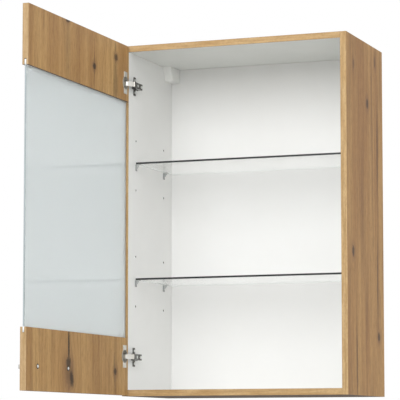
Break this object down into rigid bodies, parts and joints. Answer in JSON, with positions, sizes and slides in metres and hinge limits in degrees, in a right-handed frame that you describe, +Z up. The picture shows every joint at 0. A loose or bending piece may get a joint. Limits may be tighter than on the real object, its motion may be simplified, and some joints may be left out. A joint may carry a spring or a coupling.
{
  "type": "hanging wall cabinet",
  "caption": "Hanging wall cabinet with oak boards, a door of boards around a satin glass pane on cup hinges, and glass shelves.",
  "frame": {"origin": "centre of the bottom panel's rear edge face, which lies against the wall, 8 mm above the underside", "axes": "+Z up, +Y towards the wall, +X to the right for someone facing the cabinet. The rest pose has the door open at 90 degrees, to the left front."},
  "size_m": [0.6334, 0.9204, 0.9],
  "materials": {
    "oak_board": "oak decor outside with a vertical grain, white inside, matt",
    "oak_door": "oak decor with knots and a vertical grain, matt",
    "white_back": "white foil, matt",
    "beech_dowel": "raw beech, fluted",
    "clear_glass": "clear float glass with polished dark green edges",
    "satin_glass": "satin etched glass, soft matt",
    "clear_plastic": "clear moulded plastic",
    "white_plastic": "white moulded plastic, satin",
    "zinc_steel": "zinc plated steel",
    "nickel_hinge": "nickel plated pressed steel",
    "pin_steel": "drawn steel pin",
    "screw_steel": "zinc plated screw",
    "handle_metal": "stainless look, fine brushed"
  },
  "bodies": {
    "carcass": {"back_panel": "white_back", "bottom_panel": "oak_board", "dowel_bottom_left_front": "beech_dowel", "dowel_bottom_left_rear": "beech_dowel", "dowel_bottom_right_front": "beech_dowel", "dowel_bottom_right_rear": "beech_dowel", "dowel_top_left_front": "beech_dowel", "dowel_top_left_rear": "beech_dowel", "dowel_top_right_front": "beech_dowel", "dowel_top_right_rear": "beech_dowel", "hanger_body_left": "white_plastic", "hanger_body_right": "white_plastic", "hanger_cover_left": "white_plastic", "hanger_cover_right": "white_plastic", "lower_hinge_arm": "nickel_hinge", "lower_hinge_arm_pin_inner": "pin_steel", "lower_hinge_arm_pin_outer": "pin_steel", "lower_hinge_mounting_plate": "nickel_hinge", "lower_hinge_plate_screw_lower": "screw_steel", "lower_hinge_plate_screw_upper": "screw_steel", "shelf_support_lower_left_front": "clear_plastic", "shelf_support_lower_left_rear": "clear_plastic", "shelf_support_lower_right_front": "clear_plastic", "shelf_support_lower_right_rear": "clear_plastic", "shelf_support_upper_left_front": "clear_plastic", "shelf_support_upper_left_rear": "clear_plastic", "shelf_support_upper_right_front": "clear_plastic", "shelf_support_upper_right_rear": "clear_plastic", "side_panel_left": "oak_board", "side_panel_right": "oak_board", "top_panel": "oak_board", "upper_hinge_arm": "nickel_hinge", "upper_hinge_arm_pin_inner": "pin_steel", "upper_hinge_arm_pin_outer": "pin_steel", "upper_hinge_mounting_plate": "nickel_hinge", "upper_hinge_plate_screw_lower": "screw_steel", "upper_hinge_plate_screw_upper": "screw_steel"},
    "upper_outer_link": {"upper_hinge_outer_link": "nickel_hinge"},
    "upper_inner_link": {"upper_hinge_inner_link": "nickel_hinge"},
    "lower_outer_link": {"lower_hinge_outer_link": "nickel_hinge"},
    "lower_inner_link": {"lower_hinge_inner_link": "nickel_hinge"},
    "door": {"door_bottom_board": "oak_door", "door_top_board": "oak_door", "door_glass": "satin_glass", "handle": "handle_metal", "handle_screw_front": "screw_steel", "handle_screw_rear": "screw_steel", "lower_hinge_cup": "nickel_hinge", "lower_hinge_cup_pin": "pin_steel", "lower_hinge_cup_screw_lower": "screw_steel", "lower_hinge_cup_screw_upper": "screw_steel", "upper_hinge_cup": "nickel_hinge", "upper_hinge_cup_pin": "pin_steel", "upper_hinge_cup_screw_lower": "screw_steel", "upper_hinge_cup_screw_upper": "screw_steel"},
    "upper_shelf": {"glass_shelf_upper": "clear_glass"},
    "lower_shelf": {"glass_shelf_lower": "clear_glass"},
    "left_hook": {"hanger_hook_left": "zinc_steel"},
    "right_hook": {"hanger_hook_right": "zinc_steel"}
  },
  "joints": [
    {"name": "door_pivot", "type": "hinge", "parent": "upper_outer_link", "child": "door", "pos_m": [-0.2902, -0.3313, 0.792], "axis": [0, 0, 1], "range_deg": [-10.45, 94.04]},
    {"name": "upper_outer_link_pivot", "type": "hinge", "parent": "carcass", "child": "upper_outer_link", "pos_m": [-0.26906, -0.3176, 0.792], "axis": [0, 0, 1], "range_deg": [-4.06, 0.47]},
    {"name": "upper_inner_link_pivot", "type": "hinge", "parent": "door", "child": "upper_inner_link", "pos_m": [-0.2844, -0.3314, 0.792], "axis": [0, 0, 1], "range_deg": [-117.24, 14.36]},
    {"name": "lower_outer_link_pivot", "type": "hinge", "parent": "carcass", "child": "lower_outer_link", "pos_m": [-0.26906, -0.3176, 0.092], "axis": [0, 0, 1], "range_deg": [-4.06, 0.47]},
    {"name": "lower_inner_link_pivot", "type": "hinge", "parent": "door", "child": "lower_inner_link", "pos_m": [-0.2844, -0.3314, 0.092], "axis": [0, 0, 1], "range_deg": [-117.24, 14.36]},
    {"name": "upper_shelf_lift", "type": "slide", "parent": "carcass", "child": "upper_shelf", "axis": [0, 0, 1], "range_m": [0, 0.05]},
    {"name": "lower_shelf_lift", "type": "slide", "parent": "carcass", "child": "lower_shelf", "axis": [0, 0, 1], "range_m": [0, 0.05]},
    {"name": "left_hook_height", "type": "slide", "parent": "carcass", "child": "left_hook", "axis": [0, 0, 1], "range_m": [-0.006, 0.006]},
    {"name": "right_hook_height", "type": "slide", "parent": "carcass", "child": "right_hook", "axis": [0, 0, 1], "range_m": [-0.006, 0.006]}
  ],
  "couplings": [
    {"joint": "upper_outer_link_pivot", "follows": "door_pivot", "ratio": -0.04296},
    {"joint": "lower_outer_link_pivot", "follows": "door_pivot", "ratio": -0.04296},
    {"joint": "upper_inner_link_pivot", "follows": "door_pivot", "ratio": -1.2308},
    {"joint": "lower_inner_link_pivot", "follows": "door_pivot", "ratio": -1.2308}
  ]
}
